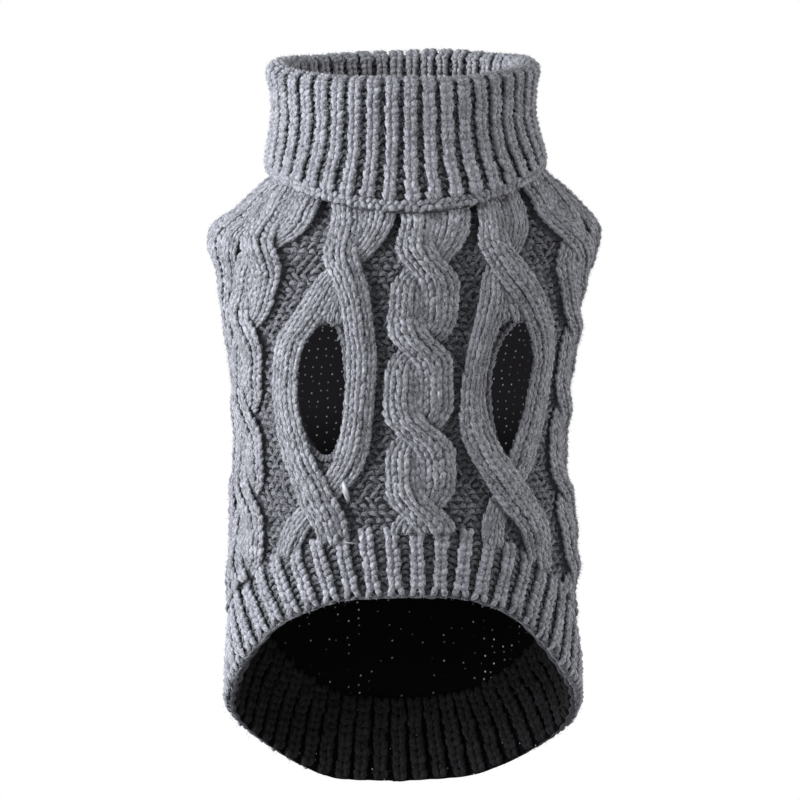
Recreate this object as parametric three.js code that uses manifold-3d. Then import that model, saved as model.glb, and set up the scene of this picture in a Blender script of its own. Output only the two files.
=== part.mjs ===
// A cable-knit dog sweater with a folded turtleneck, filled out as if worn, in millimetres.
// +Z is up towards the collar, the belly faces -Y, and the back faces +Y.
// The origin is the middle of the neck seam, where the collar joins the body.
import * as THREE from 'three';
import { mergeVertices } from 'three/addons/utils/BufferGeometryUtils.js';
import Module from 'manifold-3d';

const wasm = await Module();
wasm.setup();

// Cloth
const WALL = 3;                 // thickness of the cable knit and of the hem ribs
const RIB_WALL = 3.5;           // thickness of one layer of the collar's rib
const SEAM_GAP = 0.3;           // the line left open between two sewn pieces
const SLANT_GAP = 0.5;          // the same line measured upright where the hem band's seam slants
const SQUARENESS = 2.15;        // 2 would make every section an ellipse

// The outside of the body, one row for each level from the neck seam down.
const TORSO = [
  { z: 0, halfWidth: 50.8, frontDepth: 41.8, backDepth: 41.8 },
  { z: -6, halfWidth: 56.6, frontDepth: 46, backDepth: 46 },
  { z: -13, halfWidth: 66.5, frontDepth: 51.5, backDepth: 51 },
  { z: -20, halfWidth: 75, frontDepth: 57, backDepth: 55 },
  { z: -28, halfWidth: 79.5, frontDepth: 60.5, backDepth: 57.5 },
  { z: -37, halfWidth: 79.5, frontDepth: 62, backDepth: 58.5 },
  { z: -48, halfWidth: 76.5, frontDepth: 62, backDepth: 58.5 },
  { z: -65, halfWidth: 73.5, frontDepth: 60.5, backDepth: 57.5 },
  { z: -90, halfWidth: 71, frontDepth: 58, backDepth: 56 },
  { z: -120, halfWidth: 69.6, frontDepth: 56, backDepth: 55 },
  { z: -150, halfWidth: 70.5, frontDepth: 55, backDepth: 55 },
  { z: -185, halfWidth: 73, frontDepth: 54.5, backDepth: 55 },
  { z: -220, halfWidth: 74.5, frontDepth: 54, backDepth: 55 },
  { z: -245, halfWidth: 74, frontDepth: 54, backDepth: 54.5 },
  { z: -280, halfWidth: 71.5, frontDepth: 54, backDepth: 53.5 },
];

// The hem is cut on a slant: high on the belly, long on the back. One row for each angle
// from the hem's own middle in front: the level of the hem and of the top of its rib band.
const HEM = [
  { angle: 0, hem: -175.3, bandTop: -148.5 },
  { angle: 25, hem: -177, bandTop: -149.8 },
  { angle: 40, hem: -182.5, bandTop: -155 },
  { angle: 52, hem: -190, bandTop: -160.5 },
  { angle: 63, hem: -202, bandTop: -169.5 },
  { angle: 75, hem: -216.5, bandTop: -178.5 },
  { angle: 90, hem: -231, bandTop: -191.5 },
  { angle: 105, hem: -244.5, bandTop: -208 },
  { angle: 120, hem: -256.5, bandTop: -224 },
  { angle: 135, hem: -267, bandTop: -237 },
  { angle: 150, hem: -273.3, bandTop: -245.5 },
  { angle: 180, hem: -275.8, bandTop: -249.5 },
];
const HEM_TURN = -7;            // the hem sits turned on the body by this many degrees
const RIB_LEAN = THREE.MathUtils.degToRad(7.5);   // how far each rib leans at the sides

// The collar is one ribbed tube folded over: a stand inside and a turn-down outside.
const COLLAR_TOP = 41;
const TURN_END = -3;            // level of the turn-down's edge at the sides and back
const TURN_DIP = 11.3;          // how much lower that edge hangs in front
const COLLAR_ROLL = 1.5;        // the right side sits this much higher than the middle
const FOLD_GAP = 1;             // space between the two layers
const STAND = { halfWidth: 50.8, frontDepth: 41.8, backDepth: 41.8 };
// The outside of the turn-down, from its loose edge (0) to the fold (1).
const TURN_DOWN = [
  { part: 0, halfWidth: 59.8, frontDepth: 58, backDepth: 52 },
  { part: 0.2, halfWidth: 58.6, frontDepth: 54.5, backDepth: 50.5 },
  { part: 0.38, halfWidth: 56.8, frontDepth: 49.5, backDepth: 48.5 },
  { part: 0.62, halfWidth: 55.2, frontDepth: 46.8, backDepth: 46.8 },
  { part: 0.82, halfWidth: 55.6, frontDepth: 46.6, backDepth: 46.6 },
  { part: 1, halfWidth: 55.8, frontDepth: 46.8, backDepth: 46.8 },
];

// Leg holes through the belly panel, one row each. Angles are from the belly's middle.
const LEG_HOLES = [
  { name: 'left', angle: -38.7, z: -88.5, halfWidth: 11.3, halfHeight: 28.5, lean: 1.7, bow: -2.8, taper: 0 },
  { name: 'right', angle: 39.8, z: -90.5, halfWidth: 12.6, halfHeight: 28.5, lean: 0.9, bow: 0.5, taper: 0.2 },
];

// How finely the cloth is faceted
const COLUMNS = 28;             // across each panel, and across the band below it
const BAND_ROWS = 4;
const BODY_ROWS = 9;            // rows below the shoulder
const COLLAR_COLUMNS = 52;
const SHOULDER_LEVELS = [0, -6, -13, -20, -28, -38];
const QUARTER = Math.PI / 2;

// Reads a table at a value of its key column, easing between rows so that the cloth has no kinks.
function readTable(table, key, value) {
  const falling = table[table.length - 1][key] < table[0][key];
  const past = (row) => (falling ? row[key] <= value : row[key] >= value);
  let next = table.findIndex(past);
  if (next === -1) next = table.length - 1;
  next = Math.max(next, 1);
  const rowAt = (i) => table[THREE.MathUtils.clamp(i, 0, table.length - 1)];
  const [before, from, to, after] = [next - 2, next - 1, next, next + 1].map(rowAt);
  const span = to[key] - from[key];
  const t = THREE.MathUtils.clamp((value - from[key]) / span, 0, 1);
  const slope = (a, b, column) => (b[key] === a[key] ? 0 : ((b[column] - a[column]) / (b[key] - a[key])) * span);
  const result = {};
  for (const column of Object.keys(from).filter((name) => name !== key)) {
    const startSlope = slope(before, to, column);
    const endSlope = slope(from, after, column);
    const t2 = t * t;
    const t3 = t2 * t;
    result[column] = (2 * t3 - 3 * t2 + 1) * from[column] + (t3 - 2 * t2 + t) * startSlope
      + (3 * t2 - 2 * t3) * to[column] + (t3 - t2) * endSlope;
  }
  return result;
}

// A point of a section at an angle from the belly's middle; positive angles go to +X.
function sectionPoint(section, angle, z, inset = 0) {
  const depth = (Math.cos(angle) > 0 ? section.frontDepth : section.backDepth) - inset;
  const across = Math.abs(Math.sin(angle) / (section.halfWidth - inset)) ** SQUARENESS;
  const along = Math.abs(Math.cos(angle) / depth) ** SQUARENESS;
  const radius = (across + along) ** (-1 / SQUARENESS);
  return new THREE.Vector3(radius * Math.sin(angle), -radius * Math.cos(angle), z);
}

const torsoPoint = (angle, z) => sectionPoint(readTable(TORSO, 'z', z), angle, z);

// The body's outward normal, from two short steps along the surface.
function torsoNormal(angle, z) {
  const step = 1e-3;
  const around = torsoPoint(angle + step, z).sub(torsoPoint(angle - step, z));
  const upwards = torsoPoint(angle, z + 0.5).sub(torsoPoint(angle, z - 0.5));
  return around.cross(upwards).normalize();
}

// A point of the body's wall: depth 0 is the outside, WALL is the inside.
const torsoWall = (angle, z, depth) => torsoPoint(angle, z).addScaledVector(torsoNormal(angle, z), -depth);

// The hem's levels at an angle of the body; both sides of the hem's middle are alike.
function hemAt(angle) {
  const turned = THREE.MathUtils.radToDeg(angle) - HEM_TURN;
  const fromMiddle = Math.abs(turned - 360 * Math.round(turned / 360));
  return readTable(HEM, 'angle', fromMiddle);
}
const hemLevel = (angle) => hemAt(angle).hem;
const bandTopLevel = (angle) => hemAt(angle).bandTop;

// Closes a sheet of cloth: a grid of outside points, one of inside points, and its edges.
function clothSolid(columns, rows, place) {
  const positions = [];
  const index = [];
  const columnCount = columns + 1;
  const layerSize = columnCount * (rows + 1);
  for (const layer of [0, 1]) {
    for (let row = 0; row <= rows; row += 1) {
      for (let column = 0; column < columnCount; column += 1) {
        const point = place(column / columns, row / rows, layer);
        positions.push(point.x, point.y, point.z);
      }
    }
  }
  const at = (column, row, layer) => layer * layerSize + row * columnCount + column;
  const quad = (a, b, c, d) => index.push(a, b, c, a, c, d);
  for (let row = 0; row < rows; row += 1) {
    for (let column = 0; column < columns; column += 1) {
      quad(at(column, row, 0), at(column, row + 1, 0), at(column + 1, row + 1, 0), at(column + 1, row, 0));
      quad(at(column, row, 1), at(column + 1, row, 1), at(column + 1, row + 1, 1), at(column, row + 1, 1));
    }
  }
  for (let column = 0; column < columns; column += 1) {
    quad(at(column, 0, 0), at(column + 1, 0, 0), at(column + 1, 0, 1), at(column, 0, 1));
    quad(at(column, rows, 0), at(column, rows, 1), at(column + 1, rows, 1), at(column + 1, rows, 0));
  }
  for (let row = 0; row < rows; row += 1) {
    quad(at(0, row, 0), at(0, row, 1), at(0, row + 1, 1), at(0, row + 1, 0));
    quad(at(columns, row, 0), at(columns, row + 1, 0), at(columns, row + 1, 1), at(columns, row, 1));
  }
  const geometry = new THREE.BufferGeometry();
  geometry.setAttribute('position', new THREE.Float32BufferAttribute(positions, 3));
  geometry.setIndex(index);
  return geometry;
}

// How far a seam gap turns the angle at the side of the body
const sideGapAngle = (z) => SEAM_GAP / 2 / readTable(TORSO, 'z', z).frontDepth;

// The side seams run down from the collar and lean back with the ribs at the hem.
function sideSeamAngle(share) {
  return QUARTER + RIB_LEAN * share ** 2;
}

// A body panel between the neck seam and the rib band. The belly's middle is angle 0, the back's is PI.
function bodyPanel(middle) {
  const rows = SHOULDER_LEVELS.length - 1 + BODY_ROWS;
  const lastShoulder = SHOULDER_LEVELS.length - 1;
  const place = (u, v, layer) => {
    const row = Math.round(v * rows);
    const share = Math.max(row - lastShoulder, 0) / BODY_ROWS;
    const seam = sideSeamAngle(row / rows);
    const reach = middle === 0 ? seam : Math.PI - seam;
    const across = (u - 0.5) * 2;
    let angle = middle + across * reach;
    const shoulder = SHOULDER_LEVELS[Math.min(row, lastShoulder)];
    const z = THREE.MathUtils.lerp(shoulder, bandTopLevel(angle) + SLANT_GAP, share) - (row === 0 ? SEAM_GAP : 0);
    angle -= across * sideGapAngle(z);
    return torsoWall(angle, z, layer * WALL);
  };
  return clothSolid(COLUMNS, rows, place);
}

// A rib band along the hem. Each rib is square to the hem, so towards the sides it leans.
function hemBand(middle) {
  const leanAtSide = middle === 0 ? RIB_LEAN : -RIB_LEAN;
  const place = (u, v, layer) => {
    const across = (u - 0.5) * 2;
    const gap = sideGapAngle(hemLevel(QUARTER));
    const topAngle = middle + across * (QUARTER + leanAtSide - gap);
    const hemAngle = middle + across * (QUARTER - leanAtSide - gap);
    const angle = THREE.MathUtils.lerp(topAngle, hemAngle, v);
    const z = THREE.MathUtils.lerp(bandTopLevel(topAngle), hemLevel(hemAngle), v);
    return torsoWall(angle, z, layer * WALL);
  };
  return clothSolid(COLUMNS, BAND_ROWS, place);
}

const collarTopLevel = (angle) => COLLAR_TOP + COLLAR_ROLL * Math.sin(angle);
const turnEndLevel = (angle) => TURN_END - TURN_DIP * Math.max(Math.cos(angle), 0) ** 2 + COLLAR_ROLL * Math.sin(angle);

// The collar's cross-section at an angle, as a closed loop of points: up the outside of the
// turn-down, over the fold, down the inside of the stand, and back up between the layers.
function collarSection(angle) {
  const foldRadius = RIB_WALL + FOLD_GAP / 2;
  const foldCentre = collarTopLevel(angle) - foldRadius;
  const turnEnd = turnEndLevel(angle);
  const loop = [];
  const turnPoint = (part, inset) => sectionPoint(
    readTable(TURN_DOWN, 'part', part), angle, THREE.MathUtils.lerp(turnEnd, foldCentre, part), inset);
  const parts = TURN_DOWN.map((row) => row.part);
  parts.forEach((part) => loop.push(turnPoint(part, 0)));
  const arc = (radius, steps, direction) => {
    const middle = sectionPoint(TURN_DOWN[TURN_DOWN.length - 1], angle, foldCentre, foldRadius);
    const outwards = new THREE.Vector3(middle.x, middle.y, 0).normalize();
    for (let i = 1; i < steps; i += 1) {
      const turn = direction > 0 ? (Math.PI * i) / steps : Math.PI - (Math.PI * i) / steps;
      loop.push(middle.clone().addScaledVector(outwards, radius * Math.cos(turn))
        .add(new THREE.Vector3(0, 0, radius * Math.sin(turn))));
    }
  };
  arc(foldRadius, 5, 1);
  const standTop = TURN_DOWN[TURN_DOWN.length - 1];
  loop.push(sectionPoint(standTop, angle, foldCentre, foldRadius * 2));
  loop.push(sectionPoint(STAND, angle, foldCentre / 2, RIB_WALL));
  loop.push(sectionPoint(STAND, angle, 0, RIB_WALL));
  loop.push(sectionPoint(STAND, angle, 0, 0));
  loop.push(sectionPoint(STAND, angle, foldCentre / 2, 0));
  loop.push(sectionPoint(standTop, angle, foldCentre, RIB_WALL + FOLD_GAP));
  arc(FOLD_GAP / 2, 2, -1);
  [...parts].reverse().forEach((part) => loop.push(turnPoint(part, RIB_WALL)));
  return loop;
}

// Sweeps the collar's section all round the neck.
function collarSolid() {
  const positions = [];
  const index = [];
  const pointsPerSection = collarSection(0).length;
  for (let column = 0; column < COLLAR_COLUMNS; column += 1) {
    collarSection((column / COLLAR_COLUMNS) * 2 * Math.PI).forEach((p) => positions.push(p.x, p.y, p.z));
  }
  for (let column = 0; column < COLLAR_COLUMNS; column += 1) {
    const here = column * pointsPerSection;
    const there = ((column + 1) % COLLAR_COLUMNS) * pointsPerSection;
    for (let i = 0; i < pointsPerSection; i += 1) {
      const j = (i + 1) % pointsPerSection;
      index.push(here + i, there + i, there + j, here + i, there + j, here + j);
    }
  }
  const geometry = new THREE.BufferGeometry();
  geometry.setAttribute('position', new THREE.Float32BufferAttribute(positions, 3));
  geometry.setIndex(index);
  return geometry;
}

// The outline of a leg hole as angles and levels on the body.
function legHoleOutline(hole, points = 28) {
  const centreAngle = THREE.MathUtils.degToRad(hole.angle);
  const outline = [];
  const centre = torsoPoint(centreAngle, hole.z);
  const flatRadius = Math.hypot(centre.x, centre.y);
  for (let i = 0; i < points; i += 1) {
    const turn = (i / points) * 2 * Math.PI;
    const up = Math.cos(turn);
    const width = hole.halfWidth * (1 + hole.taper * up);
    const across = width * Math.sin(turn) + hole.lean * up + hole.bow * (1 - up * up);
    outline.push({ angle: centreAngle + across / flatRadius, z: hole.z + hole.halfHeight * up });
  }
  return outline;
}

// A plug the shape of a leg hole, standing square to the cloth on both sides of it.
function legHolePlug(hole) {
  const reach = 5;
  const outline = legHoleOutline(hole);
  const centre = { angle: THREE.MathUtils.degToRad(hole.angle), z: hole.z };
  const positions = [];
  const index = [];
  const rings = [-reach, WALL + reach];
  rings.forEach((depth) => outline.forEach((o) => positions.push(...torsoWall(o.angle, o.z, depth).toArray())));
  rings.forEach((depth) => positions.push(...torsoWall(centre.angle, centre.z, depth).toArray()));
  const count = outline.length;
  const outerCentre = count * 2;
  const innerCentre = outerCentre + 1;
  for (let i = 0; i < count; i += 1) {
    const j = (i + 1) % count;
    index.push(i, outerCentre, j);
    index.push(count + i, count + j, innerCentre);
    index.push(i, j, count + j, i, count + j, count + i);
  }
  const geometry = new THREE.BufferGeometry();
  geometry.setAttribute('position', new THREE.Float32BufferAttribute(positions, 3));
  geometry.setIndex(index);
  return geometry;
}

function toManifold(geometry) {
  const merged = mergeVertices(geometry, 1e-4);
  return new wasm.Manifold(new wasm.Mesh({
    numProp: 3,
    vertProperties: merged.attributes.position.array,
    triVerts: new Uint32Array(merged.index.array),
  }));
}

function toGeometry(manifold) {
  const mesh = manifold.getMesh();
  const geometry = new THREE.BufferGeometry();
  geometry.setAttribute('position', new THREE.Float32BufferAttribute(mesh.vertProperties, 3));
  geometry.setIndex(Array.from(mesh.triVerts));
  return geometry;
}

function bellyPanelGeometry() {
  let panel = toManifold(bodyPanel(0));
  for (const hole of LEG_HOLES) panel = panel.subtract(toManifold(legHolePlug(hole)));
  return toGeometry(panel);
}

const cableKnit = new THREE.MeshStandardMaterial({ color: 0x85868f, roughness: 0.95, metalness: 0 });
const collarRib = new THREE.MeshStandardMaterial({ color: 0x888992, roughness: 0.95, metalness: 0 });
const hemRib = new THREE.MeshStandardMaterial({ color: 0x7e7f88, roughness: 0.95, metalness: 0 });

const sweater = new THREE.Group();
const pieces = [
  ['belly_panel', bellyPanelGeometry(), cableKnit],
  ['back_panel', bodyPanel(Math.PI), cableKnit],
  ['collar', collarSolid(), collarRib],
  ['belly_hem_rib', hemBand(0), hemRib],
  ['back_hem_rib', hemBand(Math.PI), hemRib],
];
for (const [name, geometry, material] of pieces) {
  const mesh = new THREE.Mesh(geometry, material);
  mesh.name = name;
  sweater.add(mesh);
}

export default sweater;
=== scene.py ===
# %% [markdown]
# # A cable-knit dog sweater
# The sweater is a tube of thick grey knit, filled out as if a small dog stood in it. Its pieces are a
# belly panel with two leg holes, a back panel, a folded ribbed collar and a rib band along the slanted hem.
# The real cloth is one yarn looped thousands of times, and everything we see of it is made by that:
# ropes of stitches that cross, troughs of purl between them, ribs that open and close.
# So this lesson builds a thin shell for each piece, with the ropes already swelling in it, and then lays
# real stitches of yarn over it, one small mesh at a time, along paths that are given in charts.

# %% Load the frame
import math
from collections import namedtuple

import bpy
import numpy as np
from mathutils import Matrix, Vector


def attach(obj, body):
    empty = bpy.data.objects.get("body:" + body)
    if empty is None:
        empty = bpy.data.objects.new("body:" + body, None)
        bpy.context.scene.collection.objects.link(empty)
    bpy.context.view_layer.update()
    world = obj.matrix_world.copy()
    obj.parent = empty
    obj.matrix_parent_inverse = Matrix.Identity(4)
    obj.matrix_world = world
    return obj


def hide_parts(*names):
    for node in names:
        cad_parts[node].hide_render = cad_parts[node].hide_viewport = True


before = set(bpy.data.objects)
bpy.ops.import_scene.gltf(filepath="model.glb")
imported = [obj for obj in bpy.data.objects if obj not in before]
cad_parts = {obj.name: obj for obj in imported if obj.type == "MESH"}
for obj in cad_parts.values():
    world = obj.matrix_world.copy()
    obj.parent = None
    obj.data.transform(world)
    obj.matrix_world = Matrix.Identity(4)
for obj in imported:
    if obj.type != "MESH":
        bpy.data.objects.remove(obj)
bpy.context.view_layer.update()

MM = 0.001
chance = np.random.default_rng(27)

# %% [markdown]
# ## The camera
# The picture looks at the belly from a little above, and the sweater is turned slightly away from us.
# A long lens from three metres keeps the tube's edges nearly parallel, as a product picture does.
# The picture is 336 mm wide at the sweater's middle, which makes each of its 800 pixels 0.42 mm.

# %% Camera
VIEW_AZIMUTH = math.radians(-8.5)
VIEW_ELEVATION = math.radians(9)
VIEW_DISTANCE = 3.0
VIEW_WIDTH = 0.336
AIM = Vector((-0.0012, 0.0002, -0.1014))
SENSOR = 36

towards_camera = Vector((
    math.sin(VIEW_AZIMUTH) * math.cos(VIEW_ELEVATION),
    -math.cos(VIEW_AZIMUTH) * math.cos(VIEW_ELEVATION),
    math.sin(VIEW_ELEVATION),
))
bpy.ops.object.camera_add(location=AIM + towards_camera * VIEW_DISTANCE)
camera = bpy.context.object
camera.name = "front_camera"
camera.rotation_mode = "QUATERNION"
camera.rotation_quaternion = (-towards_camera).to_track_quat("-Z", "Y")
camera.data.sensor_width = SENSOR
camera.data.lens = SENSOR * VIEW_DISTANCE / VIEW_WIDTH
bpy.context.scene.camera = camera
print("Lens", round(camera.data.lens, 1), "mm")

# %% [markdown]
# ## The form of the body
# A knitted tube has no corners, so its form is best kept as a table: for each level, how wide and how deep
# the cloth stands. A smooth curve through the rows gives every level in between, and a squarish oval gives
# every angle. These are the same numbers as the solid pieces have, so the knit lies where they are.
# All tables here are in millimetres and degrees. Angle 0 is the middle of the belly, +90 the right side.

# %% Body tables
SQUARENESS = 2.15
# level, half width, depth in front, depth at the back
TORSO = np.array([
    (0, 50.8, 41.8, 41.8), (-6, 56.6, 46, 46), (-13, 66.5, 51.5, 51), (-20, 75, 57, 55),
    (-28, 79.5, 60.5, 57.5), (-37, 79.5, 62, 58.5), (-48, 76.5, 62, 58.5), (-65, 73.5, 60.5, 57.5),
    (-90, 71, 58, 56), (-120, 69.6, 56, 55), (-150, 70.5, 55, 55), (-185, 73, 54.5, 55),
    (-220, 74.5, 54, 55), (-245, 74, 54, 54.5), (-280, 71.5, 54, 53.5),
], float)
# angle from the hem's own middle, level of the hem, level of the top of its band
HEM = np.array([
    (0, -175.3, -148.5), (25, -177, -149.8), (40, -182.5, -155), (52, -190, -160.5), (63, -202, -169.5),
    (75, -216.5, -178.5), (90, -231, -191.5), (105, -244.5, -208), (120, -256.5, -224),
    (135, -267, -237), (150, -273.3, -245.5), (180, -275.8, -249.5),
], float)
HEM_TURN = -7
RIB_LEAN = math.radians(7.5)
QUARTER = math.pi / 2


def smooth_table(rows, at):
    """Reads every column of a table at any value of its first one, along a smooth curve."""
    rows = np.asarray(rows, float)
    rows = rows[np.argsort(rows[:, 0])]
    key = rows[:, 0]
    slope = np.empty_like(rows)
    slope[1:-1] = (rows[2:] - rows[:-2]) / (key[2:] - key[:-2])[:, None]
    slope[0] = (rows[1] - rows[0]) / (key[1] - key[0])
    slope[-1] = (rows[-1] - rows[-2]) / (key[-1] - key[-2])
    at = np.asarray(at, float)
    i = np.clip(np.searchsorted(key, at, side="right") - 1, 0, len(key) - 2)
    span = (key[i + 1] - key[i])[..., None]
    t = np.clip((at - key[i])[..., None] / span, 0, 1)
    start, end = rows[i], rows[i + 1]
    return (
        (2 * t**3 - 3 * t**2 + 1) * start + (t**3 - 2 * t**2 + t) * span * slope[i]
        + (3 * t**2 - 2 * t**3) * end + (t**3 - t**2) * span * slope[i + 1]
    )


def oval_point(half_width, front, back, angle, level):
    """A point of a squarish oval; the belly is towards -Y and positive angles go to +X."""
    depth = np.where(np.cos(angle) > 0, front, back)
    across = np.abs(np.sin(angle) / half_width) ** SQUARENESS
    along = np.abs(np.cos(angle) / depth) ** SQUARENESS
    radius = (across + along) ** (-1 / SQUARENESS)
    return np.stack([radius * np.sin(angle), -radius * np.cos(angle), level + 0 * angle], -1)


def unit(vectors):
    return vectors / np.maximum(np.linalg.norm(vectors, axis=-1, keepdims=True), 1e-12)


def torso_point(angle, level):
    _, half_width, front, back = np.moveaxis(smooth_table(TORSO, level), -1, 0)
    return oval_point(half_width, front, back, angle, level)


def torso_normal(angle, level):
    around = torso_point(angle + 1e-3, level) - torso_point(angle - 1e-3, level)
    upwards = torso_point(angle, level + 0.5) - torso_point(angle, level - 0.5)
    return unit(np.cross(around, upwards))


def hem_levels(angle):
    """The levels of the hem and of its band's top, at angles of the body."""
    turned = np.degrees(angle) - HEM_TURN
    from_middle = np.abs(turned - 360 * np.round(turned / 360))
    _, hem, band_top = np.moveaxis(smooth_table(HEM, from_middle), -1, 0)
    return hem, band_top


print("Chest round:", round(float(sum(np.linalg.norm(np.diff(
    torso_point(np.linspace(-math.pi, math.pi, 361), np.full(361, -40.0)), axis=0), axis=1)))), "mm")

# %% [markdown]
# ## Measuring along the cloth
# Stitches are counted along the cloth, not by angle, so the charts below need arc length: how many
# millimetres of cloth lie between the belly's middle and a point. One table turns angles into arc length at
# every level, and a second one turns them back. Both are read by blending between their rows and columns.

# %% Arc length
LEVELS = np.arange(-284.0, 1.0, 4.0)
ANGLES = np.radians(np.arange(-180, 181, 2.0))
SHARES = np.linspace(-1, 1, 181)


def arc_tables():
    arcs = []
    angles = []
    for level in LEVELS:
        steps = np.linalg.norm(np.diff(torso_point(ANGLES, np.full(len(ANGLES), level)), axis=0), axis=1)
        arc = np.concatenate([[0], np.cumsum(steps)])
        arc -= arc[len(arc) // 2]
        arcs.append(arc)
        angles.append(np.interp(SHARES * arc[-1], arc, ANGLES))
    return np.array(arcs), np.array(angles)


ARC_AT, ANGLE_AT = arc_tables()


def blend_table(table, row, column):
    """Reads a table between its rows and columns."""
    row = np.clip(row, 0, table.shape[0] - 1.001)
    column = np.clip(column, 0, table.shape[1] - 1.001)
    i, j = row.astype(int), column.astype(int)
    s, t = row - i, column - j
    return (
        (1 - s) * ((1 - t) * table[i, j] + t * table[i, j + 1])
        + s * ((1 - t) * table[i + 1, j] + t * table[i + 1, j + 1])
    )


def half_round(level):
    return np.interp(level, LEVELS, ARC_AT[:, -1])


def arc_of(angle, level):
    """Millimetres of cloth from the belly's middle; angles past the back's middle go on counting."""
    row = (np.asarray(level, float) - LEVELS[0]) / 4
    turns = np.round(angle / math.tau)
    near = blend_table(ARC_AT, row, (np.degrees(angle - turns * math.tau) + 180) / 2)
    return near + turns * 2 * half_round(level)


def angle_of(arc, level):
    row = (np.asarray(level, float) - LEVELS[0]) / 4
    turns = np.round(arc / half_round(level) / 2)
    near = blend_table(ANGLE_AT, row, (arc / half_round(level) - 2 * turns + 1) * 90)
    return near + turns * math.tau


print("Half round at the waist:", round(float(half_round(-120.0)), 1), "mm")

# %% [markdown]
# ## Charting the cables
# A cable is two strands of three wales each, a wale being one column of stitches. Every few centimetres the
# knitter swaps them, always with the left strand in front, so each strand goes over at one crossing and
# under at the next. A plain cable is worked out from its axis and the levels of its crossings.
# A strand that wanders is charted instead: each row of its chart gives a level, the angle of the
# strand's middle, its width and how high it stands there.

# %% Cable helpers
STRAND_STEP = 0.8
ALONE, OVER, UNDER = 3.1, 5.2, 1.2
CABLE_WIDTH = 28.5
CROSSING = 27.0
FIRST_LEVEL = -4.0
SWELLING, SQUEEZE = 0.22, 0.05

Strand = namedtuple("Strand", "levels arcs widths heights")


def charted_strand(rows, last_level):
    """A strand that follows rows of level, angle, width and height."""
    rows = np.array(rows, float)
    levels = np.arange(rows[0, 0], last_level, -STRAND_STEP)
    _, angle, width, height = np.moveaxis(smooth_table(rows, levels), -1, 0)
    return Strand(levels, arc_of(np.radians(angle), levels), width, height)


def plain_cable(axis, crossings, last_level, relief=1.0):
    """Two strands that swap at each crossing, as a rope does."""
    levels = np.arange(FIRST_LEVEL, last_level, -STRAND_STEP)
    _, angle = np.moveaxis(smooth_table(axis, levels), -1, 0)
    middle = arc_of(np.radians(angle), levels)
    swaps = np.zeros_like(levels)
    over = np.zeros_like(levels)
    near = np.zeros_like(levels)
    for count, crossing in enumerate(crossings):
        s = np.clip((crossing + CROSSING / 2 - levels) / CROSSING, 0, 1)
        swaps += 0.35 * s + 0.65 * s * s * (3 - 2 * s)
        rise = np.sin(math.pi * s) ** 1.3
        near += rise
        over += rise * (1 if count % 2 == 0 else -1)
    strands = []
    for side in (-1, 1):
        arcs = middle + side * CABLE_WIDTH / 4 * np.cos(math.pi * swaps) * (1 - SQUEEZE * near)
        on_top = -side * over
        heights = ALONE + relief * np.where(on_top > 0, OVER - ALONE, ALONE - UNDER) * on_top
        widths = CABLE_WIDTH / 2 * (1 + SWELLING * np.maximum(on_top, 0))
        strands.append(Strand(levels, arcs, widths, heights))
    return strands


print("A strand is", CABLE_WIDTH / 2, "mm wide and swaps within", CROSSING, "mm")

# %% [markdown]
# ## The charts
# The belly has a plain cable in its middle and one on each side. The two between them open round the leg
# holes and are charted, where a height of 3 is a strand lying alone, 5 is one on top of another, and
# 1 is one passing beneath. Narrower strands fill what the cables leave: one down each side seam, a short one
# at each shoulder, and a small wedge above each leg hole.

# %% Cable charts
# level, angle
CENTRE_AXIS = [(-200, -0.5), (-147, -0.6), (-124, -1.0), (-88, -2.2), (-50, -0.3), (-16, 1.0), (-4, 1.2)]
LEFT_SIDE_AXIS = [(-220, -77), (-175, -77.5), (-156, -77.5), (-138, -78.3), (-121, -79.3), (-104, -79),
                  (-84, -77), (-65, -72.5), (-49, -66), (-31, -60.5), (-21, -59.8), (-12, -62.8), (-4, -66)]
RIGHT_SIDE_AXIS = [(-220, 79), (-180, 79), (-162, 78), (-137, 75), (-120, 73), (-102, 74), (-77, 74),
                   (-56, 69), (-42, 62.5), (-34, 60.5), (-27, 59), (-17, 58), (-10.6, 61), (-4, 64)]
# level, angle, width, height
LEFT_HOLE_OUTER = [
    (-4, -23.8, 13, 3.1), (-12, -23.4, 13.4, 3.1), (-19.4, -22.8, 12.6, 3.0), (-27.2, -24.2, 12, 2.4),
    (-34.1, -28.4, 11.8, 1.3), (-41.8, -34.6, 11.8, 1.2), (-48.2, -38.2, 12.2, 2.2),
    (-54.7, -41.7, 13.3, 2.9), (-61.3, -45.9, 14, 3.1), (-70.7, -51.3, 13.2, 3.1), (-85.4, -54.4, 12.5, 3.1),
    (-98.1, -54.7, 12.5, 3.1), (-108.5, -53, 13.8, 3.3), (-118.7, -50.3, 15, 3.9), (-126.8, -46.4, 16, 4.7),
    (-137, -42.4, 17, 5.0), (-143.1, -39.4, 16.5, 4.5), (-151.4, -36.9, 13.5, 3.2), (-160, -36.4, 13, 2.6)]
LEFT_HOLE_INNER = [
    (-4, -40.5, 13.4, 3.1), (-12.2, -37.6, 13.5, 3.1), (-19.6, -34.5, 13.8, 3.5), (-27.4, -32.7, 13.4, 4.5),
    (-34.2, -31.0, 14.5, 5.2), (-41.5, -28.0, 13.8, 5.0), (-49.8, -26.1, 12.4, 4.0),
    (-62.4, -25.0, 12.1, 3.3), (-75.1, -24.3, 12.1, 3.1), (-92, -25.6, 11.5, 3.1), (-104.7, -27, 12, 3.1),
    (-113.2, -28.8, 13, 3.0), (-121.7, -32, 13.5, 2.3), (-128.2, -36.2, 13.5, 1.3), (-137, -43.4, 13, 1.1),
    (-146.1, -50.6, 12, 2.1), (-156.2, -54.6, 10.5, 2.2), (-166, -56, 10, 2.0)]
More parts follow.
